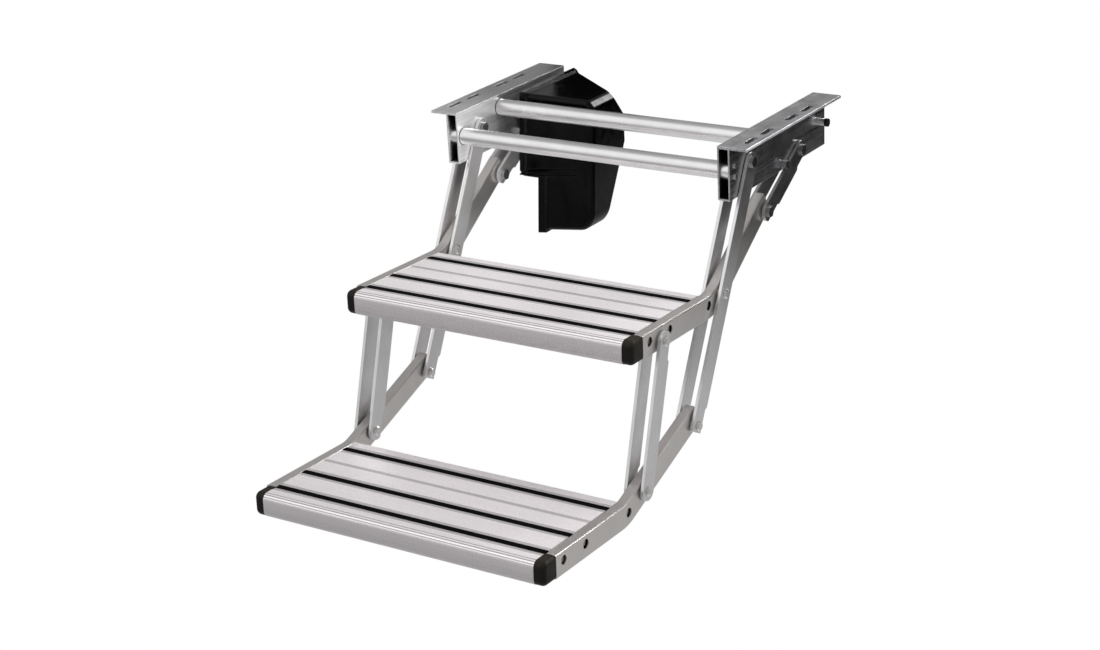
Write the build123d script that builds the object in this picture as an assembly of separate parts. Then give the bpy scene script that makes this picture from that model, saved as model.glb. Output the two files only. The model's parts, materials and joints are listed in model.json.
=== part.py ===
"""Double fold-away entry step for a caravan, modelled lowered, in millimetres.

The origin is the middle of the mounting plane, on top of the two bracket flanges. X runs across the doorway,
-Y points out to the person stepping up, +Z points up. Left and right pieces mirror each other in YZ.
Each step is drawn in its own plane first: y from the front end of its arms, z from the top of its tread.
"""
import os
from math import atan2, cos, degrees, hypot, radians, sin, tan
from build123d import *

# Widths across the doorway
ARM_SPAN = 500.0        # over the outer faces of the step arms
ARM_W = 17.0            # arm tube, across
BOX_W = 20.0            # bracket box section, across
BAR_T = 5.0             # flat bars, thickness
BAR_GAP = 1.0           # bracket wall to the bar beside it
TREAD_GAP = 0.25        # tread end to arm

# Brackets
BRACKET_L = 320.0
BOX_H = 83.0
BOX_WALL = 2.5
BOX_EDGE = 1.2          # rounding of the section's outer corners
FLANGE_W = 48.5
FLANGE_T = 4.0
SLOT_LEN = 36.0
SLOT_W = 9.0
SLOT_INSET = 16.0       # slot middle from the flange's outer edge
SLOT_PITCH = 51.5       # the two slots of one pair
SLOT_FRONT_INSET = 70.5   # middle of the front pair from the bracket's front end
SLOT_REAR_INSET = 114.5   # middle of the rear pair from the bracket's rear end

# Cross tubes
TUBE_D = 27.0
TUBE_WALL = 2.0
TUBE_FRONT_INSET = 16.4   # axis from the bracket's front end
TUBE_FRONT_Z = -41.1
TUBE_REAR = (-37.9, -20.9)

# Pivots and flat bars
PIVOT_D = 10.0
RUN_CLEAR = 0.05        # radial, every pin in its hole
SIDE_CLEAR = 0.1        # axial, beside a turning bar
BAR_W = 30.0
NOTCH_L = 30.0          # relieved edge at a bar's end, from its pivot
NOTCH_DEPTH = 4.0
MAIN_PIVOT = (-98.0, -38.5)
REAR_PIVOT = (68.0, -65.7)
MAIN_HALF = 200.0       # bracket pivot to upper step, and again to lower step
MAIN_ANGLE = -117.8     # degrees from +Y, lowered
REAR_L = 132.0
FOOT_PAST = 10.0        # square foot of a main bar, beyond its last pivot
FOOT_R = 4.5

# Bolts, rivets and washers
HEX_AF = 16.0
HEX_H = 3.5
NUT_H = 5.0
RIVET_D = 15.5
RIVET_H = 4.0
RIVET_BEVEL = 2.0
WASHER_D = 19.0
SLEEVE_WALL = 3.0

# Stop studs
STOP_D = 14.0
STOP_ALONG = 54.0       # along the rear bar, from its bracket pivot
STOP_GAP = 0.3
STOP_OUT = 10.0         # beyond the bracket's outer face
STOP_IN = 8.0           # beyond its inner face
BUFFER_INSET = 21.5     # from the bracket's rear end
BUFFER_Z = -40.0
BUFFER_D = 12.0
BUFFER_OUT = 12.0
BUMPER_D = 13.0
BUMPER_T = 5.0

# Screws at the front of the brackets
END_SCREW_D = 7.0
END_SCREW_H = 2.2
END_SCREW_SHANK = 4.0
END_SCREW_LEN = 9.0
END_SCREW_SPREAD = 8.5  # above and below the front tube's axis

# Step arms
ARM_H = 36.0
ARM_WALL = 2.0
ARM_CORNER = 3.0
ARM_PROUD = 0.5         # arm top above the tread
ARM_BEND_R = 70.0       # centreline
ARM_PAST = 13.0         # arm beyond its last pivot
TREAD_PITCH = 2.0       # degrees, nose up
UPPER_BEND_Y = 213.6
UPPER_RISE = 34.7       # degrees
UPPER_MAIN = (231.5, -5.3)
UPPER_FRONT = (51.7, -22.2)
LOWER_BEND_Y = 189.0
LOWER_RISE = 21.3       # degrees
LOWER_MAIN = (385.9, 50.2)
LOWER_FRONT = (236.8, 4.3)

# Tread extrusion
NOSE_D = 30.5           # ahead of the arms
NOSE_BACK = 5.0         # nose box behind the arm ends
NOSE_LIP = 1.5          # nose below the arms
NOSE_R = 10.0           # upper and lower front edges
NOSE_WALL = 2.5
NOSE_GROOVES = 3
NOSE_GROOVE_W = 1.4
NOSE_GROOVE_DEPTH = 0.6
NOSE_GROOVE_FIRST = 10.0  # degrees from the top of the nose
NOSE_GROOVE_STEP = 23.0   # degrees
PLATE_T = 3.5
TREAD_D = 199.0         # rearmost point of the tread
REAR_R = 10.0
REAR_H = 18.5
GRIP_FRONT_Y = 3.9
GRIP_MID_Y = 65.6
GRIP_REAR_INSET = 35.1  # rear strip from the rearmost point of the tread
GRIP_W = 10.0
GRIP_DEPTH = 1.8
GRIP_PROUD = 0.4
GRIP_FIT = 0.15         # beside the strip
BORDER_W = 7.3          # shallow groove on each side of a strip
BORDER_DEPTH = 0.5
PLAIN_GROOVE_W = 8.0
BOSS_FRONT_Y = 19.6
BOSS_MID_Y = 76.8
BOSS_REAR_INSET = 5.0   # rear boss from the rearmost point of the tread
BOSS_Z = -14.0
BOSS_D = 9.0
WEB_T = 2.5
RIB_MID_Y = 112.0
RIB_REAR_INSET = 49.0   # rear rib from the rearmost point of the tread
RIB_H = 17.0
RIB_FOOT = 9.0

# Tread screws
SCREW_D = 5.0
SCREW_LEN = 22.0
SCREW_HEAD_D = 12.0
SCREW_HEAD_H = 10.5     # tall heads, reached through the arm's outer wall
SCREW_SOCKET_AF = 6.0
SCREW_SOCKET_DEPTH = 4.0
SCREW_ACCESS_D = 14.5

# End caps
CAP_ROUND = 8.0
CAP_PLUG_L = 12.0
CAP_PLUG_FIT = 0.2

# Drive
COVER_GAP = 3.0         # inner bar to the cover's rim
COVER_W = 138.0
COVER_FRONT_Y = 10.3    # at the top of the front
COVER_LEAN = 5.2        # degrees, the front comes forward towards its foot
COVER_REAR_Y = 180.0
COVER_TOP_Z = -10.0
COVER_FOOT_Z = -223.0   # foot of the side face
COVER_FOOT_DROP = 16.4  # foot slopes down from the side to the rim
COVER_STEP_Z = -142.0   # the wide upper part ends here
COVER_STEP_W = 39.0     # the lower part starts this far in from the rim
COVER_WALL = 2.5
COVER_SHOULDER = 11.5   # bevel from top to side
COVER_SHOULDER_R = 12.0  # its two edges
COVER_FOOT_R = 28.0     # foot to side
COVER_EDGE_R = 8.0      # round the front
COVER_FACETS = (        # slanted rear faces: a (y, z) point in the side face's plane, and the outward normal
    ((103.5, -52.6), (0.51, 0.665, 0.545)),
    ((105.0, -75.0), (0.46, 0.89, 0.0)),
    ((84.0, -138.0), (0.25, 0.85, -0.47)),
)
SCOOP_R = 7.0           # hollow in the front above the step
SCOOP_DEPTH = 4.0
SCOOP_REACH = 104.0     # from the rim to the middle of its round end
SCOOP_RISE = 13.0       # round end above the step
RIM_W = 11.0            # raised rim along the cover's open edge
RIM_STEP = 3.0
RIM_EDGE_R = 3.0
PLATE_FIT = 0.3
MOTOR_PLATE_T = 3.0
STANDOFFS = ((30.0, -27.0), (110.0, -27.0), (140.0, -62.0))
STANDOFF_D = 10.0
GEARBOX_D = 58.0
GEARBOX_W = 42.0
WORM_BOX_W = 44.0
WORM_BOX_D = 42.0
WORM_BOX_H = 50.0
MOTOR_D = 40.0
MOTOR_L = 84.0
MOTOR_CAP_D = 26.0
MOTOR_CAP_H = 6.0
MOTOR_Y = 37.0

# Planes across the width, right-hand side
ARM_OUT = ARM_SPAN / 2
ARM_IN = ARM_OUT - ARM_W
ARM_MID = ARM_OUT - ARM_W / 2
BOX_OUT = ARM_MID + BOX_W / 2
BOX_IN = ARM_MID - BOX_W / 2
OUTER_BAR = BOX_OUT + BAR_GAP
INNER_BAR = BOX_IN - BAR_GAP - BAR_T
FLANGE_EDGE = BOX_IN + FLANGE_W
SLOT_X = FLANGE_EDGE - SLOT_INSET
TREAD_HALF = ARM_IN - TREAD_GAP
RIM_X = -(INNER_BAR - COVER_GAP)
COVER_SIDE_X = RIM_X + COVER_W
HOLE_R = PIVOT_D / 2 + RUN_CLEAR
NOSE_H = ARM_H - ARM_PROUD + NOSE_LIP

# Places along the brackets and the treads
SLOT_FRONT_Y = -BRACKET_L / 2 + SLOT_FRONT_INSET
SLOT_REAR_Y = BRACKET_L / 2 - SLOT_REAR_INSET
TUBE_FRONT = (-BRACKET_L / 2 + TUBE_FRONT_INSET, TUBE_FRONT_Z)
BUFFER_AT = (BRACKET_L / 2 - BUFFER_INSET, BUFFER_Z)
GRIP_Y = (GRIP_FRONT_Y, GRIP_MID_Y, TREAD_D - GRIP_REAR_INSET)
PLAIN_GROOVE_Y = (GRIP_Y[1] + GRIP_Y[2]) / 2
BOSS_Y = (BOSS_FRONT_Y, BOSS_MID_Y, TREAD_D - BOSS_REAR_INSET)
RIB_Y = (RIB_MID_Y, TREAD_D - RIB_REAR_INSET)


def along(origin, angle, reach):
    """The point at a distance from another, in a direction given in degrees from +Y."""
    return (origin[0] + reach * cos(radians(angle)), origin[1] + reach * sin(radians(angle)))


def direction(start, end):
    """The direction from one (y, z) point to another, in degrees from +Y."""
    return degrees(atan2(end[1] - start[1], end[0] - start[0]))


def distance(start, end):
    return hypot(end[0] - start[0], end[1] - start[1])


# Pivots of the lowered linkage
UPPER_PIVOT = along(MAIN_PIVOT, MAIN_ANGLE, MAIN_HALF)
LOWER_PIVOT = along(MAIN_PIVOT, MAIN_ANGLE, 2 * MAIN_HALF)
REAR_ANGLE = direction(REAR_PIVOT, UPPER_PIVOT)
ARM_END_PIVOT = along(REAR_PIVOT, REAR_ANGLE, REAR_L)
STOP_AT = along(along(REAR_PIVOT, REAR_ANGLE, STOP_ALONG), REAR_ANGLE - 90, BAR_W / 2 + STOP_GAP + STOP_D / 2)


def step_place(pivot, local):
    """Where a step's own plane lies, with one of its pivots on a pivot of the main link."""
    turn = radians(-TREAD_PITCH)
    y = local[0] * cos(turn) - local[1] * sin(turn)
    z = local[0] * sin(turn) + local[1] * cos(turn)
    return Location((0, pivot[0] - y, pivot[1] - z), (-TREAD_PITCH, 0, 0))


def to_part(place, local):
    """A (y, z) point of a step's own plane, in the part's frame."""
    spot = (place * Pos(0, local[0], local[1])).position
    return (spot.Y, spot.Z)


def to_step(place, point):
    """A (y, z) point of the part's frame, in a step's own plane."""
    spot = (place.inverse() * Pos(0, point[0], point[1])).position
    return (spot.Y, spot.Z)


UPPER_PLACE = step_place(UPPER_PIVOT, UPPER_MAIN)
LOWER_PLACE = step_place(LOWER_PIVOT, LOWER_MAIN)
FRONT_TOP = to_part(UPPER_PLACE, UPPER_FRONT)
FRONT_FOOT = to_part(LOWER_PLACE, LOWER_FRONT)


# Shared shapes

def slab(outline, x0, x1):
    """An outline in (y, z), thickened between two x planes."""
    return extrude(Plane.YZ.offset(x0) * outline, amount=x1 - x0)


def rod(at, diameter, x0, x1):
    """A round bar along x through a (y, z) point."""
    return slab(Pos(*at) * Circle(diameter / 2), x0, x1)


def ring(at, outer, inner, x0, x1):
    """A washer or sleeve along x round a (y, z) point."""
    return slab(Pos(*at) * (Circle(outer / 2) - Circle(inner / 2)), x0, x1)


def hexagon(at, x0, x1):
    """A hexagon head or nut along x."""
    return slab(Pos(*at) * RegularPolygon(HEX_AF / 2, 6, major_radius=False), x0, x1)


def rivet_head(at, face_x, out):
    """A bevelled rivet head on an x face, standing out in the direction given as +1 or -1."""
    head = Cylinder(RIVET_D / 2, RIVET_H, align=(Align.CENTER, Align.CENTER, Align.MIN))
    head = chamfer(head.edges().sort_by(Axis.Z)[-1], RIVET_BEVEL)
    return Plane((face_x, at[0], at[1]), z_dir=(out, 0, 0)) * head


def box_between(y0, y1, z0, z1):
    """A rectangle in (y, z) from its limits."""
    return Pos((y0 + y1) / 2, (z0 + z1) / 2) * Rectangle(y1 - y0, z1 - z0)


def mirrored(shape):
    """The left-hand twin of a right-hand piece."""
    return mirror(shape, about=Plane.YZ)


def both(shapes):
    """One group of separate solids: right-hand pieces and their left-hand twins."""
    right = [solid for shape in shapes for solid in shape.solids()]
    return Compound([*right, *[mirrored(solid).solid() for solid in right]])


def group(shapes):
    return Compound([solid for shape in shapes for solid in shape.solids()])


# Fixed frame

def bracket():
    """Right-hand bracket: an open-ended box section hung from a slotted flange."""
    hollow_top = -FLANGE_T
    hollow_foot = -BOX_H + BOX_WALL
    outer = box_between(BOX_IN, BOX_OUT, -BOX_H, 0) + box_between(BOX_IN, FLANGE_EDGE, -FLANGE_T, 0)
    foot_corners = outer.vertices().group_by(Axis.Y)[0]
    outer = fillet(foot_corners, BOX_EDGE)
    section = outer - box_between(BOX_IN + BOX_WALL, BOX_OUT - BOX_WALL, hollow_foot, hollow_top)
    front = Plane((0, -BRACKET_L / 2, 0), x_dir=(1, 0, 0), z_dir=(0, -1, 0))
    body = extrude(front * section, amount=-BRACKET_L)
    for pair in (SLOT_FRONT_Y, SLOT_REAR_Y):
        for side in (-1, 1):
            slot = Pos(SLOT_X, pair + side * SLOT_PITCH / 2) * Rot(0, 0, 90) * SlotOverall(SLOT_LEN, SLOT_W)
            body -= extrude(slot, amount=-2 * FLANGE_T, both=True)
    for pivot in (MAIN_PIVOT, REAR_PIVOT):
        body -= rod(pivot, 2 * HOLE_R, BOX_IN - BOX_W, BOX_OUT + BOX_W)
    body -= rod(STOP_AT, STOP_D + 2 * RUN_CLEAR, BOX_IN - BOX_W, BOX_OUT + BOX_W)
    body -= rod(BUFFER_AT, BUFFER_D + 2 * RUN_CLEAR, ARM_MID, BOX_OUT + BOX_W)
    for tube in (TUBE_FRONT, TUBE_REAR):
        body -= rod(tube, TUBE_D + 2 * RUN_CLEAR, BOX_IN - BOX_W, ARM_MID)
    for spot in end_screw_spots():
        body -= rod(spot, END_SCREW_SHANK + 2 * RUN_CLEAR, ARM_MID, BOX_OUT + BOX_W)
    return body


def cross_tube(at):
    """A tube from one bracket's outer wall to the other's."""
    reach = BOX_OUT - BOX_WALL
    return ring(at, TUBE_D, TUBE_D - 2 * TUBE_WALL, -reach, reach)


def end_screw_spots():
    y, z = TUBE_FRONT
    return ((y, z - END_SCREW_SPREAD), (y, z + END_SCREW_SPREAD))


def end_screw(at):
    """A flat-headed screw through the bracket's outer wall, into the end of the front tube."""
    head = rod(at, END_SCREW_D, BOX_OUT, BOX_OUT + END_SCREW_H)
    return head + rod(at, END_SCREW_SHANK, BOX_OUT - END_SCREW_LEN, BOX_OUT)


def pivot_bolt(at):
    """A hexagon bolt across the bracket, with its head outside the outer bar."""
    seat = OUTER_BAR + BAR_T + SIDE_CLEAR
    shank = rod(at, PIVOT_D, INNER_BAR - SIDE_CLEAR - NUT_H, seat)
    return shank + hexagon(at, seat, seat + HEX_H)


def pivot_nut(at):
    seat = INNER_BAR - SIDE_CLEAR
    return hexagon(at, seat - NUT_H, seat) - rod(at, 2 * HOLE_R, seat - 2 * NUT_H, seat + NUT_H)


def pivot_sleeve(at):
    """A spacer between the walls of the box, so that the bolt can be drawn tight."""
    bore = 2 * HOLE_R
    return ring(at, bore + 2 * SLEEVE_WALL, bore, BOX_IN + BOX_WALL, BOX_OUT - BOX_WALL)


def bracket_washers(at):
    """Thin washers between the bracket and the bars on both of its sides."""
    thick = BAR_GAP - SIDE_CLEAR
    outside = ring(at, WASHER_D, 2 * HOLE_R, BOX_OUT, BOX_OUT + thick)
    inside = ring(at, WASHER_D, 2 * HOLE_R, BOX_IN - thick, BOX_IN)
    return [outside, inside]


def bumper():
    start = BOX_OUT + BUFFER_OUT
    return rod(BUFFER_AT, BUMPER_D, start, start + BUMPER_T)


# Links

def round_ended(length):
    """Outline of a bar from its first pivot at zero, with both ends round."""
    return Pos(length / 2, 0) * SlotCenterToCenter(length, BAR_W)


def square_footed(length):
    """Outline of a bar from its first pivot at zero, with a round top and a square foot."""
    half = BAR_W / 2
    foot = box_between(0, length + FOOT_PAST, -half, half)
    foot = fillet(foot.vertices().group_by(Axis.X)[-1], FOOT_R)
    return foot + Circle(half)


def link_bar(start, end, x0, outline, pivots, notched_start, notched_end):
    """A flat bar with holes at distances along it and relieved rear edges at its ends."""
    length = distance(start, end)
    half = BAR_W / 2
    for pivot in pivots:
        outline -= Pos(pivot, 0) * Circle(HOLE_R)
    relief = make_face(Polyline(
        (-BAR_W, half - NOTCH_DEPTH), (NOTCH_L - NOTCH_DEPTH, half - NOTCH_DEPTH),
        (NOTCH_L + NOTCH_DEPTH, half + NOTCH_DEPTH), (-BAR_W, half + NOTCH_DEPTH), close=True))
    if notched_start:
        outline -= relief
    if notched_end:
        outline -= Pos(length / 2, 0) * mirror(Pos(-length / 2, 0) * relief, about=Plane.YZ)
    turn = radians(direction(start, end))
    plane = Plane((x0, start[0], start[1]), x_dir=(0, cos(turn), sin(turn)), z_dir=(1, 0, 0))
    return extrude(plane * outline, amount=BAR_T)


def main_bar(x0):
    reach = 2 * MAIN_HALF
    return link_bar(MAIN_PIVOT, LOWER_PIVOT, x0, square_footed(reach), (0, MAIN_HALF, reach), False, True)


def rear_bar(x0):
    return link_bar(REAR_PIVOT, ARM_END_PIVOT, x0, round_ended(REAR_L), (0, REAR_L), True, True)


def front_bar(x0, notched_top):
    reach = distance(FRONT_TOP, FRONT_FOOT)
    return link_bar(FRONT_TOP, FRONT_FOOT, x0, round_ended(reach), (0, reach), notched_top, not notched_top)


def bolt_stubs(at):
    """Bolt and nut halves left on the two bars of an open pivot, clear of the arm between them."""
    outer_face = OUTER_BAR + BAR_T
    outside = rod(at, PIVOT_D, OUTER_BAR, outer_face) + hexagon(at, outer_face, outer_face + HEX_H)
    inside = rod(at, PIVOT_D, INNER_BAR, INNER_BAR + BAR_T) + hexagon(at, INNER_BAR - NUT_H, INNER_BAR)
    return [outside, inside]


def rivet_stubs(at):
    """Rivet halves left on the two bars of an open pivot, clear of the arm between them."""
    outer_face = OUTER_BAR + BAR_T
    outside = rod(at, PIVOT_D, OUTER_BAR, outer_face) + rivet_head(at, outer_face, 1)
    inside = rod(at, PIVOT_D, INNER_BAR, INNER_BAR + BAR_T) + rivet_head(at, INNER_BAR, -1)
    return [outside, inside]


def pivot_rivet(at):
    """A rivet across an arm and the bars on both sides of it."""
    outer_face = OUTER_BAR + BAR_T + SIDE_CLEAR
    inner_face = INNER_BAR - SIDE_CLEAR
    shank = rod(at, PIVOT_D, inner_face, outer_face)
    return shank + rivet_head(at, outer_face, 1) + rivet_head(at, inner_face, -1)


def arm_washers(at):
    """Washers that fill the gap between an arm and the bars on both sides of it."""
    outside = ring(at, WASHER_D, 2 * HOLE_R, ARM_OUT, OUTER_BAR - SIDE_CLEAR)
    inside = ring(at, WASHER_D, 2 * HOLE_R, INNER_BAR + BAR_T + SIDE_CLEAR, ARM_IN)
    return [outside, inside]


# Steps, each in its own plane

def arm_path(bend_y, rise, last):
    """Centreline of an arm: level from the front, one bend, then up past its last pivot."""
    level = ARM_PROUD - ARM_H / 2
    lift = radians(rise)
    reach = (last[0] - bend_y) * cos(lift) + (last[1] - level) * sin(lift) + ARM_PAST
    tangent = ARM_BEND_R * tan(lift / 2)
    end_y = bend_y + reach * cos(lift)
    end_z = level + reach * sin(lift)
    first = Line((ARM_MID, 0, level), (ARM_MID, bend_y - tangent, level))
    bend_start = (ARM_MID, bend_y - tangent, level)
    bend_end = (ARM_MID, bend_y + tangent * cos(lift), level + tangent * sin(lift))
    half = lift / 2
    bend_mid = (ARM_MID, bend_y - tangent + ARM_BEND_R * sin(half), level + ARM_BEND_R * (1 - cos(half)))
    bend = ThreePointArc(bend_start, bend_mid, bend_end)
    return first + bend + Line(bend_end, (ARM_MID, end_y, end_z))


def step_arm(bend_y, rise, pivots):
    """Right-hand arm: a bent rectangular tube with holes for its pivots and for the tread screws."""
    path = arm_path(bend_y, rise, pivots[-1])
    front = Plane((ARM_MID, 0, ARM_PROUD - ARM_H / 2), x_dir=(1, 0, 0), z_dir=(0, 1, 0))
    inner_corner = ARM_CORNER - ARM_WALL
    outside = sweep(front * RectangleRounded(ARM_W, ARM_H, ARM_CORNER), path=path)
    bore = front * RectangleRounded(ARM_W - 2 * ARM_WALL, ARM_H - 2 * ARM_WALL, inner_corner)
    arm = outside - sweep(bore, path=path)
    for pivot in pivots:
        arm -= rod(pivot, 2 * HOLE_R, ARM_IN - ARM_W, ARM_OUT + ARM_W)
    for y in BOSS_Y:
        arm -= rod((y, BOSS_Z), SCREW_ACCESS_D, ARM_MID, ARM_OUT + ARM_W)
        arm -= rod((y, BOSS_Z), SCREW_D + 2 * RUN_CLEAR, ARM_IN - ARM_W, ARM_MID)
    return arm


def nose_outline(back):
    """Side outline of the nose with its round front edges, as far back as a given y."""
    outline = box_between(-NOSE_D, back, -NOSE_H, 0)
    return fillet(outline.vertices().group_by(Axis.X)[0], NOSE_R)


def nose_grooves():
    """Fine lengthwise grooves round the upper edge of the nose."""
    centre = (NOSE_R - NOSE_D, -NOSE_R)
    first = 90 + NOSE_GROOVE_FIRST
    angles = [first + index * NOSE_GROOVE_STEP for index in range(NOSE_GROOVES)]
    cut = Rectangle(2 * NOSE_GROOVE_DEPTH, NOSE_GROOVE_W)
    return [Pos(*along(centre, angle, NOSE_R)) * Rot(0, 0, angle) * cut for angle in angles]


def tread_section():
    """Cross-section of the tread: hollow nose, grooved plate, rolled rear edge, screw bosses and ribs."""
    nose = nose_outline(NOSE_BACK)
    section = nose - offset(nose, -NOSE_WALL)
    section += box_between(0, TREAD_D - REAR_R, -PLATE_T, 0)
    rear = box_between(TREAD_D - 2 * REAR_R, TREAD_D, -REAR_H, 0)
    rear = fillet(rear.vertices().group_by(Axis.X)[-1].sort_by(Axis.Y)[-1], REAR_R)
    inside = box_between(TREAD_D - 3 * REAR_R, TREAD_D - PLATE_T, -2 * REAR_H, -PLATE_T)
    inside = fillet(inside.vertices().group_by(Axis.X)[-1].sort_by(Axis.Y)[-1], REAR_R - PLATE_T)
    section += rear - inside
    for y in BOSS_Y:
        section += box_between(y - WEB_T / 2, y + WEB_T / 2, BOSS_Z, -PLATE_T)
        section += Pos(y, BOSS_Z) * Circle(BOSS_D / 2)
    for y in RIB_Y:
        section += box_between(y - WEB_T / 2, y + WEB_T / 2, -PLATE_T - RIB_H, -PLATE_T)
        section += box_between(y - RIB_FOOT / 2, y + RIB_FOOT / 2, -PLATE_T - RIB_H, -PLATE_T - RIB_H + WEB_T)
    for y in BOSS_Y:
        section -= Pos(y, BOSS_Z) * Circle(SCREW_D / 2 + RUN_CLEAR)
    for y in GRIP_Y:
        half = GRIP_W / 2 + GRIP_FIT
        section -= box_between(y - half, y + half, -GRIP_DEPTH, 1)
        section -= box_between(y - half - BORDER_W, y + half + BORDER_W, -BORDER_DEPTH, 1)
    plain = PLAIN_GROOVE_W / 2
    section -= box_between(PLAIN_GROOVE_Y - plain, PLAIN_GROOVE_Y + plain, -BORDER_DEPTH, 1)
    for groove in nose_grooves():
        section -= groove
    return section


def tread():
    return slab(tread_section(), -TREAD_HALF, TREAD_HALF)


def grip_strips():
    half = GRIP_W / 2
    return group([slab(box_between(y - half, y + half, -GRIP_DEPTH, GRIP_PROUD), -TREAD_HALF, TREAD_HALF)
                  for y in GRIP_Y])


def end_cap():
    """Right-hand cap over an arm's front end, with a plug inside the tube."""
    outline = Pos(0, ARM_PROUD) * nose_outline(0)
    shell = slab(outline, ARM_IN, ARM_OUT)
    face = shell.faces().sort_by(Axis.X)[-1]
    back = face.edges().sort_by(Axis.Y)[-1]
    shell = fillet([edge for edge in face.edges() if edge != back], CAP_ROUND)
    wide = ARM_W - 2 * (ARM_WALL + CAP_PLUG_FIT)
    high = ARM_H - 2 * (ARM_WALL + CAP_PLUG_FIT)
    front = Plane((ARM_MID, 0, ARM_PROUD - ARM_H / 2), x_dir=(1, 0, 0), z_dir=(0, 1, 0))
    return shell + extrude(front * RectangleRounded(wide, high, ARM_CORNER - ARM_WALL), amount=CAP_PLUG_L)


def tread_screw(y):
    """A screw from inside the arm, through its inner wall and into a boss of the tread."""
    seat = ARM_IN + ARM_WALL
    top = seat + SCREW_HEAD_H
    at = (y, BOSS_Z)
    screw = rod(at, SCREW_D, seat - SCREW_LEN, seat) + rod(at, SCREW_HEAD_D, seat, top)
    socket = Pos(*at) * RegularPolygon(SCREW_SOCKET_AF / 2, 6, major_radius=False)
    return screw - slab(socket, top - SCREW_SOCKET_DEPTH, top)


# Drive

def cover_front(z):
    """The y of the cover's leaning front at a height."""
    return COVER_FRONT_Y - (COVER_TOP_Z - z) * tan(radians(COVER_LEAN))


def cover_block(inset, edge_r):
    """Rounded block behind the cover's leaning front, with every face moved inwards by an inset."""
    left = RIM_X - COVER_W
    outline = make_face(Polyline(
        (left, COVER_TOP_Z), (COVER_SIDE_X - COVER_SHOULDER, COVER_TOP_Z),
        (COVER_SIDE_X, COVER_TOP_Z - COVER_SHOULDER), (COVER_SIDE_X, COVER_FOOT_Z),
        (left, COVER_FOOT_Z - 2 * COVER_FOOT_DROP), close=True))
    foot, low, high = outline.vertices().sort_by(Axis.X)[2:].sort_by(Axis.Y)
    outline = fillet([low, high], COVER_SHOULDER_R)
    outline = fillet(outline.vertices().sort_by_distance((foot.X, foot.Y, 0))[0], COVER_FOOT_R)
    if inset:
        outline = offset(outline, -inset)
    rear = Plane((0, COVER_REAR_Y, 0), x_dir=(1, 0, 0), z_dir=(0, -1, 0))
    block = extrude(rear * outline, amount=2 * COVER_REAR_Y)
    lean = radians(COVER_LEAN)
    outward = Vector(0, -cos(lean), sin(lean))
    front = Plane(Vector(0, COVER_FRONT_Y, COVER_TOP_Z) - outward * inset, z_dir=outward)
    block = split(block, bisect_by=front, keep=Keep.BOTTOM)
    block = split(block, bisect_by=Plane.YZ.offset(RIM_X), keep=Keep.TOP)
    face = block.faces().sort_by(Axis.Y)[0]
    rim = face.edges().sort_by(Axis.X)[0]
    return fillet([edge for edge in face.edges() if edge != rim], edge_r)


def cover_scoop(inset):
    """Round-ended hollow across the cover's front, which rises from the step's corner."""
    start = Vector(RIM_X, cover_front(COVER_STEP_Z) + SCOOP_DEPTH - SCOOP_R, COVER_STEP_Z)
    end_z = COVER_STEP_Z + SCOOP_RISE
    end = Vector(RIM_X + SCOOP_REACH, cover_front(end_z) + SCOOP_DEPTH - SCOOP_R, end_z)
    run = end - start
    channel = extrude(Plane(start, z_dir=run) * Circle(SCOOP_R + inset), amount=run.length)
    return channel + Pos(end) * Sphere(SCOOP_R + inset)


def cover_form(inset, edge_r):
    """The cover's outer form, or the same form with every face moved inwards by an inset."""
    form = cover_block(inset, edge_r)
    for point, normal in COVER_FACETS:
        outward = Vector(*normal).normalized()
        cut = Plane(Vector(COVER_SIDE_X, *point) - outward * inset, z_dir=outward)
        form = split(form, bisect_by=cut, keep=Keep.BOTTOM)
    corner = (RIM_X + COVER_STEP_W + inset, COVER_STEP_Z + inset)
    return form - below_left(*corner) - cover_scoop(inset)


def below_left(x, z):
    """All the room to the left of an x plane and below a z plane."""
    span = 4 * COVER_W
    return Pos(x, 0, z) * Box(span, 2 * span, span, align=(Align.MAX, Align.CENTER, Align.MAX))


def motor_cover():
    """Moulded shell over the drive, open towards the bracket, with a raised rim along its open edge."""
    rim_zone = below_left(RIM_X + RIM_W, 0) + below_left(RIM_X + COVER_STEP_W + RIM_W, COVER_STEP_Z)
    rim = cover_form(-RIM_STEP, RIM_EDGE_R) & rim_zone
    return cover_form(0, COVER_EDGE_R) + rim - cover_cavity(COVER_WALL)


def cover_cavity(inset):
    return cover_form(inset, COVER_EDGE_R - COVER_WALL)


def plate_zone():
    """The slice behind the cover's open edge that the motor plate fills."""
    span = 4 * COVER_W
    return Pos(RIM_X, 0, 0) * Box(MOTOR_PLATE_T, span, span, align=(Align.MIN, Align.CENTER, Align.CENTER))


def motor_plate():
    plate = cover_cavity(COVER_WALL + PLATE_FIT) & plate_zone()
    return plate - rod(REAR_PIVOT, 2 * HOLE_R, RIM_X - BOX_W, RIM_X + BOX_W)


def standoffs():
    """Spacers that carry the motor plate on the left bracket's inner wall."""
    return group([rod(at, STANDOFF_D, -BOX_IN, RIM_X) for at in STANDOFFS])


def gearbox_housing():
    """Round housing on the drive shaft, with the worm's box at its inner side."""
    seat = RIM_X + MOTOR_PLATE_T
    body = rod(REAR_PIVOT, GEARBOX_D, seat, seat + GEARBOX_W)
    y, z = REAR_PIVOT
    box = box_between(MOTOR_Y - WORM_BOX_D / 2, y, z - WORM_BOX_H / 2, z + WORM_BOX_H / 2)
    worm = slab(box, seat, seat + GEARBOX_W + WORM_BOX_W)
    return body + worm - rod(REAR_PIVOT, 2 * HOLE_R, seat - BOX_W, seat + GEARBOX_W / 2)


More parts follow.
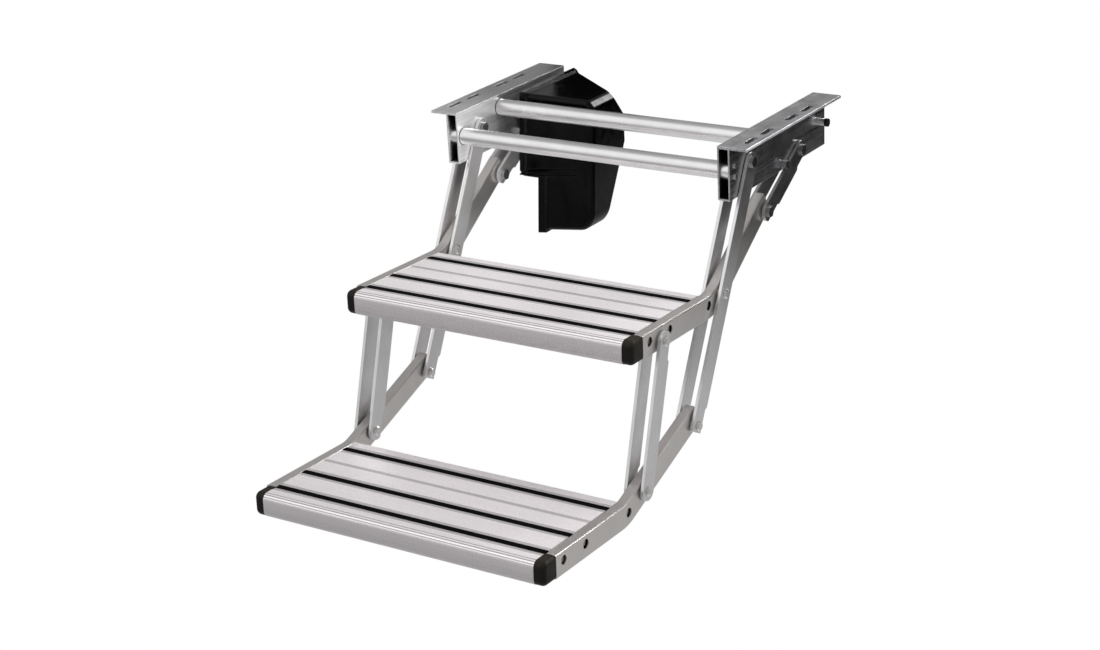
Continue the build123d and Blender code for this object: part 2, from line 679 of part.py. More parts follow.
def drive_motor():
    """Motor can that hangs below the worm's box."""
    x = RIM_X + MOTOR_PLATE_T + GEARBOX_W + WORM_BOX_W / 2
    top = REAR_PIVOT[1] - WORM_BOX_H / 2
    can = Pos(x, MOTOR_Y, top) * Cylinder(MOTOR_D / 2, MOTOR_L, align=(Align.CENTER, Align.CENTER, Align.MAX))
    end = Pos(x, MOTOR_Y, top - MOTOR_L) * Cylinder(
        MOTOR_CAP_D / 2, MOTOR_CAP_H, align=(Align.CENTER, Align.CENTER, Align.MAX))
    return can + end


def drive_shaft():
    """Output shaft from the gearbox across the left bracket, which turns the left rear bars."""
    start = -(OUTER_BAR + BAR_T)
    end = RIM_X + MOTOR_PLATE_T + GEARBOX_W / 2
    return rod(REAR_PIVOT, PIVOT_D, start, end) + hexagon(REAR_PIVOT, start - HEX_H, start)


# Assembly

def frame_nodes():
    right = bracket()
    bolts = [pivot_bolt(MAIN_PIVOT), mirrored(pivot_bolt(MAIN_PIVOT)), pivot_bolt(REAR_PIVOT)]
    nuts = [pivot_nut(MAIN_PIVOT), mirrored(pivot_nut(MAIN_PIVOT)), pivot_nut(REAR_PIVOT)]
    stud = rod(STOP_AT, STOP_D, BOX_IN - STOP_IN, BOX_OUT + STOP_OUT)
    buffer = rod(BUFFER_AT, BUFFER_D, BOX_OUT - BOX_WALL, BOX_OUT + BUFFER_OUT)
    return {
        "bracket_right": right,
        "bracket_left": mirrored(right),
        "front_cross_tube": cross_tube(TUBE_FRONT),
        "rear_cross_tube": cross_tube(TUBE_REAR),
        "bracket_pivot_bolts": group(bolts),
        "bracket_pivot_nuts": group(nuts),
        "bracket_sleeves": both([pivot_sleeve(MAIN_PIVOT), pivot_sleeve(REAR_PIVOT)]),
        "bracket_washers": both(bracket_washers(MAIN_PIVOT) + bracket_washers(REAR_PIVOT)),
        "stop_studs": both([stud]),
        "rear_studs": both([buffer]),
        "rear_bumpers": both([bumper()]),
        "bracket_end_screws": both([end_screw(spot) for spot in end_screw_spots()]),
        "motor_plate": motor_plate(),
        "plate_standoffs": standoffs(),
        "gearbox_housing": gearbox_housing(),
        "drive_motor": drive_motor(),
        "motor_cover": motor_cover(),
    }


def link_nodes():
    nodes = {
        "main_bar_right_outer": main_bar(OUTER_BAR),
        "main_bar_right_inner": main_bar(INNER_BAR),
        "rear_bar_right_outer": rear_bar(OUTER_BAR),
        "rear_bar_right_inner": rear_bar(INNER_BAR),
        "front_bar_right_outer": front_bar(OUTER_BAR, True),
        "front_bar_right_inner": front_bar(INNER_BAR, False),
    }
    twins = {name.replace("right", "left"): mirrored(bar) for name, bar in nodes.items()}
    nodes.update(twins)
    nodes["drive_shaft"] = drive_shaft()
    nodes["rear_bar_bolts"] = both(bolt_stubs(ARM_END_PIVOT))
    nodes["front_bar_rivets"] = both(rivet_stubs(FRONT_FOOT))
    return nodes


def step_nodes(name, place, bend_y, rise, rivets, open_pivot):
    """All pieces of one step. Rivets are its working pivots, in its own plane."""
    pivots = sorted([*rivets, open_pivot])
    arm = step_arm(bend_y, rise, pivots)
    cap = end_cap()
    washers = [washer for at in rivets for washer in arm_washers(at)]
    pieces = {
        "arm_right": arm,
        "arm_left": mirrored(arm),
        "tread": tread(),
        "grip_strips": grip_strips(),
        "cap_right": cap,
        "cap_left": mirrored(cap),
        "tread_screws": both([tread_screw(y) for y in BOSS_Y]),
        "pivot_rivets": both([pivot_rivet(at) for at in rivets]),
        "washers": both(washers),
    }
    return {f"{name}_{piece}": place * shape for piece, shape in pieces.items()}


nodes = {**frame_nodes(), **link_nodes()}
nodes.update(step_nodes("upper", UPPER_PLACE, UPPER_BEND_Y, UPPER_RISE, [UPPER_FRONT, UPPER_MAIN],
                        to_step(UPPER_PLACE, ARM_END_PIVOT)))
nodes.update(step_nodes("lower", LOWER_PLACE, LOWER_BEND_Y, LOWER_RISE, [LOWER_MAIN], LOWER_FRONT))

os.makedirs("parts", exist_ok=True)
for node, shape in nodes.items():
    export_step(shape, f"parts/{node}.step")
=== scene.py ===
import json
import math
import bpy
from mathutils import Matrix, Vector

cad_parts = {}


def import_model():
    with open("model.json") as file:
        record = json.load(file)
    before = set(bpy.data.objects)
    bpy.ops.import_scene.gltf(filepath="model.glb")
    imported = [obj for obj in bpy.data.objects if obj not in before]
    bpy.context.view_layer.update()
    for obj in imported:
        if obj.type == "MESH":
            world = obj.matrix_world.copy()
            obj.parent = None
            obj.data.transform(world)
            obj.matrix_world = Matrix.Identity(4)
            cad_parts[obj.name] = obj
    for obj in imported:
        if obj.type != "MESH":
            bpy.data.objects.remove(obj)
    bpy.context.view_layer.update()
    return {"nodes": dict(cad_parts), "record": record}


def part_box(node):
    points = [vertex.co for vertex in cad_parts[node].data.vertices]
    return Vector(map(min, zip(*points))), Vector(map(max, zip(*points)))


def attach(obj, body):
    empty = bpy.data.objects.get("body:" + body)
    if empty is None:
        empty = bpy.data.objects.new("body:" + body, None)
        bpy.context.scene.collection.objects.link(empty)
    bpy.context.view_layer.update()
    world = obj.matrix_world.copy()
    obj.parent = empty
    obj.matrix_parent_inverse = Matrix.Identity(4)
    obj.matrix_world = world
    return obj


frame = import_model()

# Looks, studio and camera of the caravan entry step, in the frame of its CAD model.
# Places and lengths are in metres, angles in degrees and noise scales per metre.
# A tone multiplies a base colour: below 1 it darkens, above 1 it lightens.

# Camera, fitted to the photograph; lens and sensor in millimetres
CAMERA_AT = Vector((1.67479, -2.81948, 0.90125))
CAMERA_AZIMUTH = 33.37
CAMERA_ELEVATION = 21.16
CAMERA_ROLL = -3.08
CAMERA_LENS = 70.28
CAMERA_SENSOR = 36.0

# Surroundings
WHITE = (1.0, 1.0, 1.0, 1.0)
SKY_STOPS = (  # elevation, strength
    (-90, 0.70), (-50, 0.62), (-30, 0.34), (-15, 0.31),
    (0, 0.36), (20, 0.31), (45, 0.34), (90, 0.46),
)
SKY_LOBES = (  # azimuth from +Y towards +X, elevation, inner and outer half angle, added strength
    (-147.0, 35.0, 12.0, 46.0, 0.65),
    (33.0, -21.0, 15.0, 45.0, 0.14),
    (24.0, 27.0, 5.0, 12.0, 14.0),
)
LAMPS = (  # name, place, target, size, power in watts, spread
    ("overhead", (0.80, -0.20, 2.3), (0.15, -0.35, -0.25), (1.4, 1.1), 172.0, 180.0),
    ("left_fill", (0.02, -0.19, -0.05), (-0.24, -0.13, -0.06), (0.14, 0.10), 0.5, 75.0),
)
FLOOR_COLOUR = (0.0, 0.0, 0.0)  # it takes no light, and shines by itself
FLOOR_SPAN = (-60.0, 60.0)
FLOOR_Z = -1.35

# Black cards, which the camera doesn't see
CARD_COLOUR = (0.01, 0.01, 0.01)
FLAG_X = 0.50
FLAG_OUTLINE = (  # y, z
    (0.26, -0.62), (0.85, -0.62), (0.85, -0.45), (1.60, -0.45),
    (1.60, 0.24), (-0.10, 0.24), (-0.10, -0.29), (0.26, -0.29),
)
BACK_CARD_X = (-0.345, -0.16)
BACK_CARD_Y = 0.30
BACK_CARD_Z = (-0.02, 0.19)
SHADE_X = (-0.60, 0.60)
SHADE_Y = (-0.05, 0.70)
SHADE_Z = 0.60

# Treads: each step has a plane of its own, from the front end of its arms and the top of its tread
UPPER_ORIGIN = (0.0, -0.422451, -0.202040)
LOWER_ORIGIN = (0.0, -0.671972, -0.429034)
STEP_PITCH = math.radians(-2.0)
STRIP_Y = (0.0039, 0.0656, 0.1639)
STRIP_SEAT_HALF = 0.01245
PLAIN_GROOVE_Y = 0.11475
PLAIN_GROOVE_HALF = 0.0040
GROOVE_LOWEST_Z = -0.0016
NOSE_EDGE_Y, NOSE_EDGE_Z = -0.0205, -0.0100  # middle of the nose's upper rounding
NOSE_RIBS_ANGLE, NOSE_RIBS_HALF_ANGLE = 36.0, 32.0  # from the upright, about that middle
NOSE_GROOVE_ANGLES, NOSE_GROOVE_HALF_ANGLE = (10.0, 33.0, 56.0), 4.5
NOSE_FALL_Z = (-0.042, -0.012)  # painted shade: the nose's front darkens downwards between these, for the way the light reaches it

# Brackets
FLANGE_TOP_Z = -0.0006  # just under the flanges' upper face
FLANGE_EDGE_X = 0.2790  # just inside the flanges' sawn outer edges
BRACKET_POLISH_Y = (-0.12, -0.02)  # dull in front of these, polished behind them

# Painted shadow: dark rings round the ends of the cross tubes, where the gap at the brackets lies
# in shade
SEAM_SHADOW_COLOUR = (0.05, 0.05, 0.05)
SEAM_ROUGHNESS = 0.5
SEAM_W = 0.0009  # along the tube
SEAM_IN = 0.0004  # below the tube's surface
SEAM_OUT = 0.0007  # above it
SEAM_TURNS = 72

scene = bpy.context.scene


# Material helpers

NOISE_SPAN = (0.35, 0.65)  # where most of a noise lies
EDGE_SAMPLES = 6
EDGE_TURN = (0.75, 0.98)  # cosine of the turn at an edge: full painted highlight below, none above
CREVICE_SAMPLES = 8
CREVICE_OPEN = (0.25, 0.85)  # open share round a point: full painted shade below, none above


class NodeTree:
    """A node tree, with short calls that add to it."""

    def __init__(self, tree):
        self.tree = tree

    def node(self, kind, **inputs):
        made = self.tree.nodes.new(kind)
        for name, value in inputs.items():
            made.inputs[name.replace("_", " ")].default_value = value
        return made

    def link(self, start, end):
        self.tree.links.new(start, end)

    def math(self, operation, *values):
        """A sum, product, comparison or the like of sockets and numbers."""
        made = self.node("ShaderNodeMath")
        made.operation = operation
        for index, value in enumerate(values):
            if isinstance(value, (int, float)):
                made.inputs[index].default_value = value
            else:
                self.link(value, made.inputs[index])
        return made.outputs[0]

    def dot(self, first, second):
        """The dot product of a socket with another one, or with three numbers."""
        made = self.node("ShaderNodeVectorMath")
        made.operation = "DOT_PRODUCT"
        self.link(first, made.inputs[0])
        if isinstance(second, tuple):
            made.inputs[1].default_value = second
        else:
            self.link(second, made.inputs[1])
        return made.outputs["Value"]

    def axes(self, vector):
        split = self.node("ShaderNodeSeparateXYZ")
        self.link(vector, split.inputs[0])
        return split.outputs

    def spread(self, value, low, high, start, end, smooth=False):
        """The values from start to end, mapped to the range from low to high."""
        made = self.node("ShaderNodeMapRange",
                         From_Min=start, From_Max=end, To_Min=low, To_Max=high)
        if smooth:
            made.interpolation_type = "SMOOTHSTEP"
        self.link(value, made.inputs["Value"])
        return made.outputs["Result"]

    def bands(self, value, middles, half):
        """A mask that is 1 where a value is within half of one of the middles."""
        mask = self.math("COMPARE", value, middles[0], half)
        for middle in middles[1:]:
            mask = self.math("MAXIMUM", mask, self.math("COMPARE", value, middle, half))
        return mask


class Look(NodeTree):
    """A material with a Principled shader, built up from patterns in the part's own frame."""

    def __init__(self, name, colour, metallic, roughness, specular=0.5):
        self.material = bpy.data.materials.new(name)
        self.material.use_nodes = True
        super().__init__(self.material.node_tree)
        self.shader = self.tree.nodes["Principled BSDF"]
        self.shader.inputs["Base Color"].default_value = (*colour, 1.0)
        self.shader.inputs["Metallic"].default_value = metallic
        self.shader.inputs["Roughness"].default_value = roughness
        self.shader.inputs["Specular IOR Level"].default_value = specular
        self.colour = colour
        self.place = self.node("ShaderNodeTexCoord").outputs["Object"]
        self.factor = None
        self.scaled = None
        self.normal = None

    def step_plane(self, origin):
        """Coordinates in a step's own plane."""
        mapping = self.node("ShaderNodeMapping", Location=origin, Rotation=(STEP_PITCH, 0.0, 0.0))
        mapping.vector_type = "TEXTURE"
        self.link(self.place, mapping.inputs["Vector"])
        return mapping.outputs["Vector"]

    def stretched(self, scale):
        """Coordinates scaled per axis, for grain that runs one way."""
        mapping = self.node("ShaderNodeMapping", Scale=scale)
        self.link(self.place, mapping.inputs["Vector"])
        return mapping.outputs["Vector"]

    def noise(self, scale, detail=3.0, rough=0.55, vector=None):
        made = self.node("ShaderNodeTexNoise", Scale=scale, Detail=detail, Roughness=rough)
        self.link(vector or self.place, made.inputs["Vector"])
        return made.outputs["Fac"]

    def shade(self, value, low, high, start=NOISE_SPAN[0], end=NOISE_SPAN[1]):
        """Sets the base colour's tone by a pattern; several patterns multiply."""
        amount = self.spread(value, low, high, start, end)
        if self.scaled is None:
            self.scaled = self.node("ShaderNodeVectorMath")
            self.scaled.operation = "SCALE"
            self.scaled.inputs[0].default_value = self.colour
            self.link(self.scaled.outputs[0], self.shader.inputs["Base Color"])
            self.factor = amount
        else:
            self.factor = self.math("MULTIPLY", self.factor, amount)
        self.link(self.factor, self.scaled.inputs["Scale"])

    def tint(self, mask, tone):
        """Gives the base colour a tone where a mask is 1."""
        self.shade(mask, 1.0, tone, 0.0, 1.0)

    def edges(self, radius, tone):
        """Softened edges, lighter along them: a painted highlight, which on the metals also stands
        for worn bare edges.
        """
        made = self.node("ShaderNodeBevel", Radius=radius)
        made.samples = EDGE_SAMPLES
        self.normal = made.outputs["Normal"]
        self.link(self.normal, self.shader.inputs["Normal"])
        flat = self.node("ShaderNodeNewGeometry").outputs["Normal"]
        self.shade(self.dot(self.normal, flat), tone, 1.0, *EDGE_TURN)

    def crevice_shade(self, reach, tone):
        """Painted shade in slots, holes and hollow ends, where little light gets in."""
        made = self.node("ShaderNodeAmbientOcclusion", Distance=reach)
        made.samples = CREVICE_SAMPLES
        made.only_local = True
        self.shade(made.outputs["AO"], tone, 1.0, *CREVICE_OPEN)

    def gloss(self, value, low, high, start=NOISE_SPAN[0], end=NOISE_SPAN[1]):
        """Sets the roughness by a pattern."""
        self.link(self.spread(value, low, high, start, end), self.shader.inputs["Roughness"])

    def bump(self, value, strength, depth):
        made = self.node("ShaderNodeBump", Strength=strength, Distance=depth)
        self.link(value, made.inputs["Height"])
        if self.normal:
            self.link(self.normal, made.inputs["Normal"])
        self.normal = made.outputs["Normal"]
        self.link(self.normal, self.shader.inputs["Normal"])


# Materials

TREAD_COLOUR = (0.815, 0.778, 0.792)
TREAD_METALLIC = 0.75
TREAD_ROUGHNESS = 0.50
TREAD_SPECKLE = 640.0
TREAD_SPECKLE_TONES = (0.90, 1.08)
TREAD_LINES = (5.0, 900.0, 900.0)  # along each axis
TREAD_LINE_TONES = (0.97, 1.03)
TREAD_WEAR = 30.0
TREAD_WEAR_SPAN = (-0.4, 0.65)
TREAD_WEAR_ROUGHNESS = (0.30, 0.58)
TREAD_BUMP, TREAD_BUMP_DEPTH = 0.16, 0.00012
GROOVE_TONE = 0.62
NOSE_RIBS_HIGHLIGHT = 1.12
NOSE_RIBS_POLISH = 0.9  # taken off the wear
NOSE_GROOVE_TONE = 0.55
NOSE_FALL_SHADE = 0.76


def tread_metal(name, origin):
    """Matt anodised tread: speckle, faint drawing lines, dark grooves, and a ribbed nose with
    painted highlight on its ribs and painted shade down its front.
    """
    look = Look(name, TREAD_COLOUR, TREAD_METALLIC, TREAD_ROUGHNESS)
    _, y, z = look.axes(look.step_plane(origin))
    groove = look.math("MAXIMUM", look.bands(y, (PLAIN_GROOVE_Y,), PLAIN_GROOVE_HALF),
                       look.bands(y, STRIP_Y, STRIP_SEAT_HALF))
    groove = look.math("MULTIPLY", groove, look.math("GREATER_THAN", z, GROOVE_LOWEST_Z))
    front = look.math("LESS_THAN", y, NOSE_EDGE_Y)
    forward = look.math("SUBTRACT", NOSE_EDGE_Y, y)
    upward = look.math("SUBTRACT", z, NOSE_EDGE_Z)
    turn = look.math("DEGREES", look.math("ARCTAN2", forward, upward))
    ribs = look.math("MULTIPLY", look.bands(turn, (NOSE_RIBS_ANGLE,), NOSE_RIBS_HALF_ANGLE), front)
    cuts = look.bands(turn, NOSE_GROOVE_ANGLES, NOSE_GROOVE_HALF_ANGLE)
    cuts = look.math("MULTIPLY", cuts, ribs)
    fall_shade = look.math("MULTIPLY", front, look.spread(z, 1.0, 0.0, *NOSE_FALL_Z))
    speckle = look.noise(TREAD_SPECKLE, detail=2.0, rough=0.6)
    lines = look.noise(1.0, rough=0.6, vector=look.stretched(TREAD_LINES))
    look.tint(groove, GROOVE_TONE)
    # Painted highlight on the nose's ribs
    look.tint(ribs, NOSE_RIBS_HIGHLIGHT)
    look.tint(cuts, NOSE_GROOVE_TONE)
    # Painted shade down the nose's front
    look.tint(fall_shade, NOSE_FALL_SHADE)
    look.shade(speckle, *TREAD_SPECKLE_TONES)
    look.shade(lines, *TREAD_LINE_TONES)
    polish = look.math("MULTIPLY", ribs, NOSE_RIBS_POLISH)
    worn = look.math("SUBTRACT", look.noise(TREAD_WEAR), polish)
    look.gloss(worn, *TREAD_WEAR_ROUGHNESS, *TREAD_WEAR_SPAN)
    look.bump(speckle, TREAD_BUMP, TREAD_BUMP_DEPTH)
    return look.material


SATIN_EDGE_HIGHLIGHT = 1.12
SATIN_CREVICE_SHADE = 0.12
SATIN_CLOUDS = 24.0
SATIN_WEAR = 38.0
SATIN_WEAR_ROUGHNESS = 0.03  # more or less
SATIN_BUMP, SATIN_BUMP_DEPTH = 0.05, 0.0001


def satin(name, colour, roughness, speckle_scale=700.0, speckle=0.05, cloud=0.03,
          edge=0.0008, metallic=0.95, crevice=0.0):
    """Satin anodised or plated metal: fine blasted speckle and faint clouds; where asked, a painted
    highlight along the edges and painted shade in crevices.
    """
    look = Look(name, colour, metallic, roughness)
    # Painted highlight along the edges, partly standing for worn bare metal
    if edge:
        look.edges(edge, SATIN_EDGE_HIGHLIGHT)
    # Painted shade in slots, holes and hollow ends
    if crevice:
        look.crevice_shade(crevice, SATIN_CREVICE_SHADE)
    grain = look.noise(speckle_scale, detail=2.0, rough=0.6)
    look.shade(grain, 1.0 - speckle, 1.0 + speckle)
    look.shade(look.noise(SATIN_CLOUDS), 1.0 - cloud, 1.0 + cloud)
    look.gloss(look.noise(SATIN_WEAR),
               roughness - SATIN_WEAR_ROUGHNESS, roughness + SATIN_WEAR_ROUGHNESS)
    look.bump(grain, SATIN_BUMP, SATIN_BUMP_DEPTH)
    return look.material


DRAWN_GRAIN = (330.0, 4.0, 330.0)  # along each axis
DRAWN_PATCHES = 30.0
DRAWN_STREAK_LIFT, DRAWN_PATCH_LIFT = 0.5, 0.4  # lightening as a share of the darkening
DRAWN_STREAK_ROUGHNESS = (-0.07, 0.08)  # added
DRAWN_BUMP, DRAWN_BUMP_DEPTH = 0.15, 0.00012
DRAWN_EDGE, DRAWN_EDGE_HIGHLIGHT = 0.0012, 1.4
DRAWN_CREVICE, DRAWN_CREVICE_SHADE = 0.035, 0.04
POLISHED_METALLIC = 0.97
SAWN_AND_HIGHLIGHT_TONE = 1.3
SAWN_METALLIC = 0.35  # as a share of the rest


def drawn(name, colour, roughness, streak, cloud, metallic, top=1.0):
    """Mill-finish bracket metal: long drawing streaks, dull patches and sawn edges, pale partly for
    their finish and partly as a painted highlight.

    top is the tone of the flange's upper face: below 1 it is a painted shade, for the way the light
    reaches it.
    """
    look = Look(name, colour, metallic, roughness)
    # Painted highlight along the edges, partly standing for worn bare metal
    look.edges(DRAWN_EDGE, DRAWN_EDGE_HIGHLIGHT)
    # Painted shade in slots and hollow ends
    look.crevice_shade(DRAWN_CREVICE, DRAWN_CREVICE_SHADE)
    x, y, z = look.axes(look.place)
    # Painted shade: the flange's upper face takes the tone top
    look.tint(look.math("GREATER_THAN", z, FLANGE_TOP_Z), top)
    streaks = look.noise(1.0, detail=5.0, rough=0.65, vector=look.stretched(DRAWN_GRAIN))
    patches = look.noise(DRAWN_PATCHES, detail=4.0, rough=0.6)
    look.shade(streaks, 1.0 - streak, 1.0 + DRAWN_STREAK_LIFT * streak)
    look.shade(patches, 1.0 - cloud, 1.0 + DRAWN_PATCH_LIFT * cloud)
    look.gloss(streaks, *(roughness + change for change in DRAWN_STREAK_ROUGHNESS))
    # Sawn outer edges: paler for their finish and partly as a painted highlight
    sawn = look.math("GREATER_THAN", look.math("ABSOLUTE", x), FLANGE_EDGE_X)
    look.tint(sawn, SAWN_AND_HIGHLIGHT_TONE)
    polished = look.spread(y, metallic, max(metallic, POLISHED_METALLIC), *BRACKET_POLISH_Y)
    bare = look.math("MULTIPLY", polished, look.spread(sawn, 1.0, SAWN_METALLIC, 0.0, 1.0))
    look.link(bare, look.shader.inputs["Metallic"])
    look.bump(streaks, DRAWN_BUMP, DRAWN_BUMP_DEPTH)
    return look.material


MOULDED_CLOUDS = 35.0
MOULDED_CLOUD_TONES = (0.85, 1.2)
MOULDED_WEAR = 60.0
MOULDED_WEAR_ROUGHNESS = 0.05  # more or less
MOULDED_BUMP_DEPTH = 0.0001


def moulded(name, colour, roughness, grain_scale, grain, specular=0.4, edge=0.0, edge_highlight=1.0):
    """Moulded plastic, rubber or paint with a fine surface grain, and, where edge is given, a
    painted highlight along the edges.
    """
    look = Look(name, colour, 0.0, roughness, specular)
    # Painted highlight along the edges
    if edge:
        look.edges(edge, edge_highlight)
    texture = look.noise(grain_scale, rough=0.6)
    look.shade(look.noise(MOULDED_CLOUDS), *MOULDED_CLOUD_TONES)
    look.gloss(look.noise(MOULDED_WEAR),
               roughness - MOULDED_WEAR_ROUGHNESS, roughness + MOULDED_WEAR_ROUGHNESS)
    look.bump(texture, grain, MOULDED_BUMP_DEPTH)
    return look.material


looks = {
    "bracket_metal": drawn("bracket_metal", (0.70, 0.70, 0.715), 0.32,
                           streak=0.13, cloud=0.30, metallic=0.97),
    "tube_metal": satin("tube_metal", (0.88, 0.87, 0.875), 0.30,
                        speckle=0.03, edge=0.0, metallic=1.0),
    "bar_metal": satin("bar_metal", (0.80, 0.795, 0.80), 0.33),
    # The arms: painted highlight along their edges, painted shade in their holes
    "arm_metal": satin("arm_metal", (0.71, 0.685, 0.665), 0.36, edge=0.0014, crevice=0.006),
    "grip_rubber": moulded("grip_rubber", (0.0015, 0.0015, 0.0017), 0.55,
                           grain_scale=900.0, grain=0.3, specular=0.01),
    "cap_plastic": moulded("cap_plastic", (0.008, 0.0064, 0.0046), 0.48,
                           grain_scale=1100.0, grain=0.25, specular=0.20),
    # Painted sheen along the cover's edges
    "cover_plastic": moulded("cover_plastic", (0.0006, 0.0006, 0.0007), 0.18,
                             grain_scale=500.0, grain=0.03, specular=0.16,
                             edge=0.0026, edge_highlight=40.0),
    "bumper_rubber": moulded("bumper_rubber", (0.008, 0.008, 0.008), 0.6,
                             grain_scale=900.0, grain=0.3),
    "dark_steel": satin("dark_steel", (0.36, 0.36, 0.365), 0.24,
                        speckle_scale=400.0, speckle=0.12, cloud=0.12),
    "bright_steel": satin("bright_steel", (0.78, 0.77, 0.76), 0.26,
                          speckle_scale=400.0, speckle=0.06, cloud=0.05),
    "plate_steel": moulded("plate_steel", (0.02, 0.02, 0.02), 0.5, grain_scale=500.0, grain=0.1),
    "cast_housing": satin("cast_housing", (0.42, 0.42, 0.42), 0.55,
                          speckle_scale=500.0, speckle=0.10, cloud=0.08),
    "motor_can": moulded("motor_can", (0.02, 0.02, 0.02), 0.4, grain_scale=500.0, grain=0.1),
}
screw_zinc = satin("screw_zinc", (0.80, 0.79, 0.77), 0.34,
                   speckle_scale=400.0, speckle=0.06, cloud=0.05, metallic=0.6)
# Copies of bar metal: a matter one for the left bars, painted light, and a darker one for the right
# rear bars, painted shade
lit_bars = satin("bar_metal_lit_copy", (0.80, 0.785, 0.785), 0.36, metallic=0.90)
shaded_bars = satin("bar_metal_shaded_copy", (0.56, 0.555, 0.55), 0.30, cloud=0.06, metallic=1.0)

# Nodes whose look isn't the one of their material slot. The left bracket is a lighter copy of its
# metal and the left bars a matter one, painted light; the right rear bars are a darker copy,
# painted shade.
own_looks = {
    "bracket_left": drawn("bracket_metal_left_lit_copy", (0.84, 0.835, 0.84), 0.38,
                          streak=0.14, cloud=0.08, metallic=0.82, top=0.62),
    "upper_tread": tread_metal("tread_metal_upper", UPPER_ORIGIN),
    "lower_tread": tread_metal("tread_metal_lower", LOWER_ORIGIN),
    "upper_tread_screws": screw_zinc,
    "lower_tread_screws": screw_zinc,
    "main_bar_left_outer": lit_bars,
    "main_bar_left_inner": lit_bars,
    "rear_bar_left_outer": lit_bars,
    "rear_bar_left_inner": lit_bars,
    "rear_bar_right_outer": shaded_bars,
    "rear_bar_right_inner": shaded_bars,
}


# Pieces

def add_mesh(name, corners, faces, material):
    mesh = bpy.data.meshes.new(name)
    mesh.from_pydata(corners, [], faces)
    mesh.materials.append(material)
    made = bpy.data.objects.new(name, mesh)
    scene.collection.objects.link(made)
    return made


def ring(profile, y, z, sign):
    """Corners and faces of a ring about X, from (x, radius) pairs; a sign of -1 mirrors it."""
    corners, faces = [], []
    for turn in range(SEAM_TURNS):
        angle = 2 * math.pi * turn / SEAM_TURNS
        for x, r in profile:
            corners.append((sign * x, y + r * math.cos(angle), z + r * math.sin(angle)))
    count = len(profile)
    for turn in range(SEAM_TURNS):
        here, ahead = turn * count, ((turn + 1) % SEAM_TURNS) * count
        for index in range(count):
            after = (index + 1) % count
            face = [here + index, here + after, ahead + after, ahead + index]
            faces.append(face[::-1] if sign > 0 else face)
    return corners, faces


def tube_seam_shadows():
    """Thin dark rings where the cross tubes go into the brackets, a painted shadow of the gap
    there.
    """
    look = satin("seam_shadow", SEAM_SHADOW_COLOUR, SEAM_ROUGHNESS)
    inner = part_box("bracket_right")[0][0]
    for tube in ("front_cross_tube", "rear_cross_tube"):
        low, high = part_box(tube)
        y, z = (low[1] + high[1]) / 2, (low[2] + high[2]) / 2
        radius = (high[2] - low[2]) / 2
        profile = ((inner - SEAM_W, radius - SEAM_IN), (inner - SEAM_W, radius + SEAM_OUT / 2),
                   (inner - SEAM_W / 2, radius + SEAM_OUT), (inner, radius + SEAM_OUT))
        for side, sign in (("right", 1.0), ("left", -1.0)):
            made = add_mesh(tube + "_seam_shadow_" + side, *ring(profile, y, z, sign), look)
            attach(made, "frame")


tube_seam_shadows()

for entry in frame["record"]["subparts"]:
    name = entry["node"]
    piece = frame["nodes"][name]
    look = own_looks.get(name) or looks[entry["material_slot"]]
    piece.data.materials.clear()
    piece.data.materials.append(look)


# Studio

def stage_sheet(name, corners, look, to_camera=False, to_diffuse=False, to_glossy=False,
                casts_shadow=False):
    """A flat stage piece, which shows only to the rays that are named."""
    made = add_mesh(name, corners, [range(len(corners))], look.material)
    made.visible_camera = to_camera
    made.visible_diffuse = to_diffuse
    made.visible_glossy = to_glossy
    made.visible_shadow = casts_shadow


def matt(name, colour):
    return Look(name, colour, metallic=0.0, roughness=1.0, specular=0.0)


def level(x, y, z):
    """Corners of a level rectangle."""
    return [(x[0], y[0], z), (x[1], y[0], z), (x[1], y[1], z), (x[0], y[1], z)]


def floor():
    """Pale floor, bright of itself so that it is even, which only the camera sees."""
    look = matt("studio_floor", FLOOR_COLOUR)
    look.shader.inputs["Emission Color"].default_value = WHITE
    look.shader.inputs["Emission Strength"].default_value = 1.0
    stage_sheet("studio_floor", level(FLOOR_SPAN, FLOOR_SPAN, FLOOR_Z), look, to_camera=True)


def flag():
    """Black card beside the right bracket, which darkens what the metal there mirrors."""
    corners = [(FLAG_X, y, z) for y, z in FLAG_OUTLINE]
    look = matt("studio_flag", CARD_COLOUR)
    stage_sheet("studio_flag", corners, look, to_diffuse=True, to_glossy=True)


def back_card():
    """Black card behind the cover, which only reflections see."""
    (x0, x1), y, (z0, z1) = BACK_CARD_X, BACK_CARD_Y, BACK_CARD_Z
    corners = [(x0, y, z0), (x1, y, z0), (x1, y, z1), (x0, y, z1)]
    stage_sheet("studio_back_card", corners, matt("studio_back_card", CARD_COLOUR), to_glossy=True)


def shade_card():
    """Card that keeps the overhead light off the brackets; nothing sees it."""
    corners = level(SHADE_X, SHADE_Y, SHADE_Z)
    stage_sheet("studio_shade", corners, matt("studio_shade", CARD_COLOUR), casts_shadow=True)


def area_light(name, at, target, size, power, spread):
    """A lamp that neither the camera nor a reflection sees."""
    data = bpy.data.lights.new(name, "AREA")
    data.shape = "RECTANGLE"
    data.size, data.size_y = size
    data.energy = power
    data.spread = math.radians(spread)
    made = bpy.data.objects.new(name, data)
    made.location = at
    made.rotation_euler = (Vector(target) - Vector(at)).to_track_quat("-Z", "Y").to_euler()
    made.visible_camera = False
    made.visible_glossy = False
    scene.collection.objects.link(made)


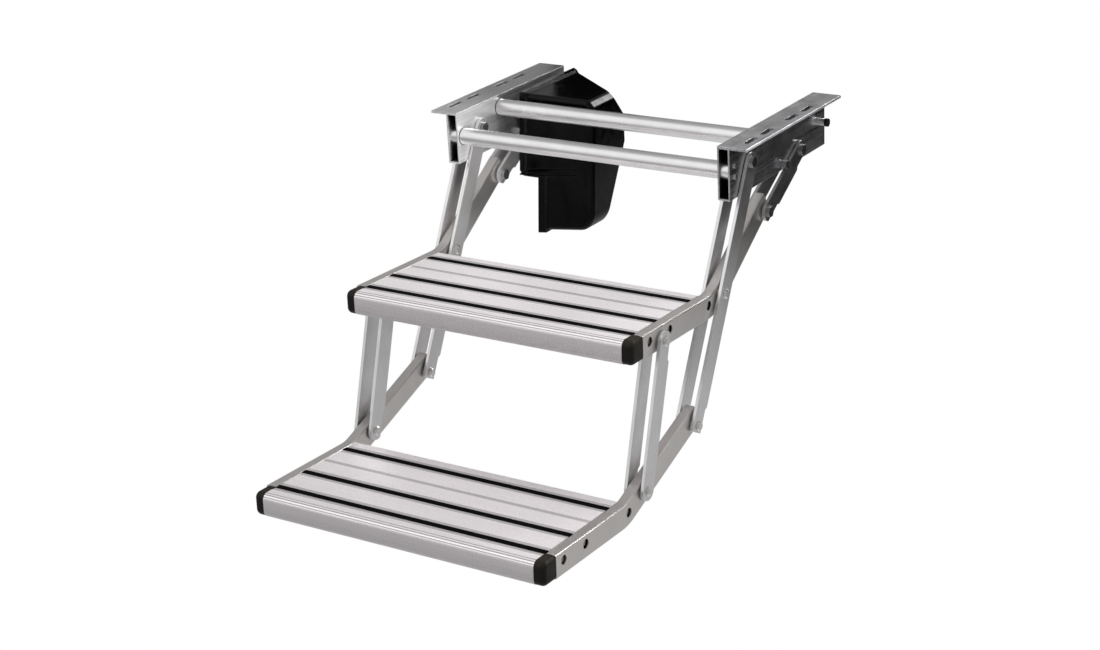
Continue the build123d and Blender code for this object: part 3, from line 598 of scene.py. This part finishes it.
def camera():
    """The camera, at the photograph's viewing angle."""
    azimuth, elevation, roll = map(math.radians, (CAMERA_AZIMUTH, CAMERA_ELEVATION, CAMERA_ROLL))
    back = Vector((math.sin(azimuth) * math.cos(elevation),
                   -math.cos(azimuth) * math.cos(elevation),
                   math.sin(elevation)))
    across = Vector((math.cos(azimuth), math.sin(azimuth), 0.0))
    upright = back.cross(across)
    right = math.cos(roll) * across + math.sin(roll) * upright
    up = math.cos(roll) * upright - math.sin(roll) * across
    turned = Matrix((right, up, back)).transposed().to_4x4()
    data = bpy.data.cameras.new("camera")
    data.lens = CAMERA_LENS
    data.sensor_width = CAMERA_SENSOR
    data.sensor_fit = "HORIZONTAL"
    made = bpy.data.objects.new("camera", data)
    made.matrix_world = Matrix.Translation(CAMERA_AT) @ turned
    scene.collection.objects.link(made)
    scene.camera = made


def heading(azimuth, elevation):
    """The direction at an azimuth from +Y towards +X and an elevation."""
    a, e = math.radians(azimuth), math.radians(elevation)
    return (math.sin(a) * math.cos(e), math.cos(a) * math.cos(e), math.sin(e))


def world():
    """Soft light from all round: a vertical gradient with brighter lobes. The camera sees white."""
    made = bpy.data.worlds.new("studio")
    made.use_nodes = True
    sky = NodeTree(made.node_tree)
    sky.tree.nodes.clear()
    ray = sky.node("ShaderNodeTexCoord").outputs["Generated"]
    height = sky.spread(sky.axes(ray)["Z"], 0.0, 1.0, -1.0, 1.0)
    ramp = sky.node("ShaderNodeValToRGB")
    stops = ramp.color_ramp.elements
    while len(stops) < len(SKY_STOPS):
        stops.new(0.5)
    for stop, (elevation, strength) in zip(stops, SKY_STOPS):
        stop.position = (1.0 + math.sin(math.radians(elevation))) / 2
        stop.color = (strength, strength, strength, 1.0)
    sky.link(height, ramp.inputs["Fac"])
    total = ramp.outputs["Color"]
    for azimuth, elevation, inner, outer, added in SKY_LOBES:
        start, end = math.cos(math.radians(outer)), math.cos(math.radians(inner))
        towards = sky.dot(ray, heading(azimuth, elevation))
        total = sky.math("ADD", total, sky.spread(towards, 0.0, added, start, end, smooth=True))
    around = sky.node("ShaderNodeBackground", Color=WHITE)
    behind = sky.node("ShaderNodeBackground", Color=WHITE)
    seen = sky.node("ShaderNodeLightPath").outputs["Is Camera Ray"]
    mix = sky.node("ShaderNodeMixShader")
    out = sky.node("ShaderNodeOutputWorld")
    sky.link(total, around.inputs["Strength"])
    sky.link(seen, mix.inputs[0])
    sky.link(around.outputs[0], mix.inputs[1])
    sky.link(behind.outputs[0], mix.inputs[2])
    sky.link(mix.outputs[0], out.inputs["Surface"])
    scene.world = made


floor()
flag()
back_card()
shade_card()
camera()
world()
for lamp in LAMPS:
    area_light(*lamp)
scene.view_settings.view_transform = "Standard"
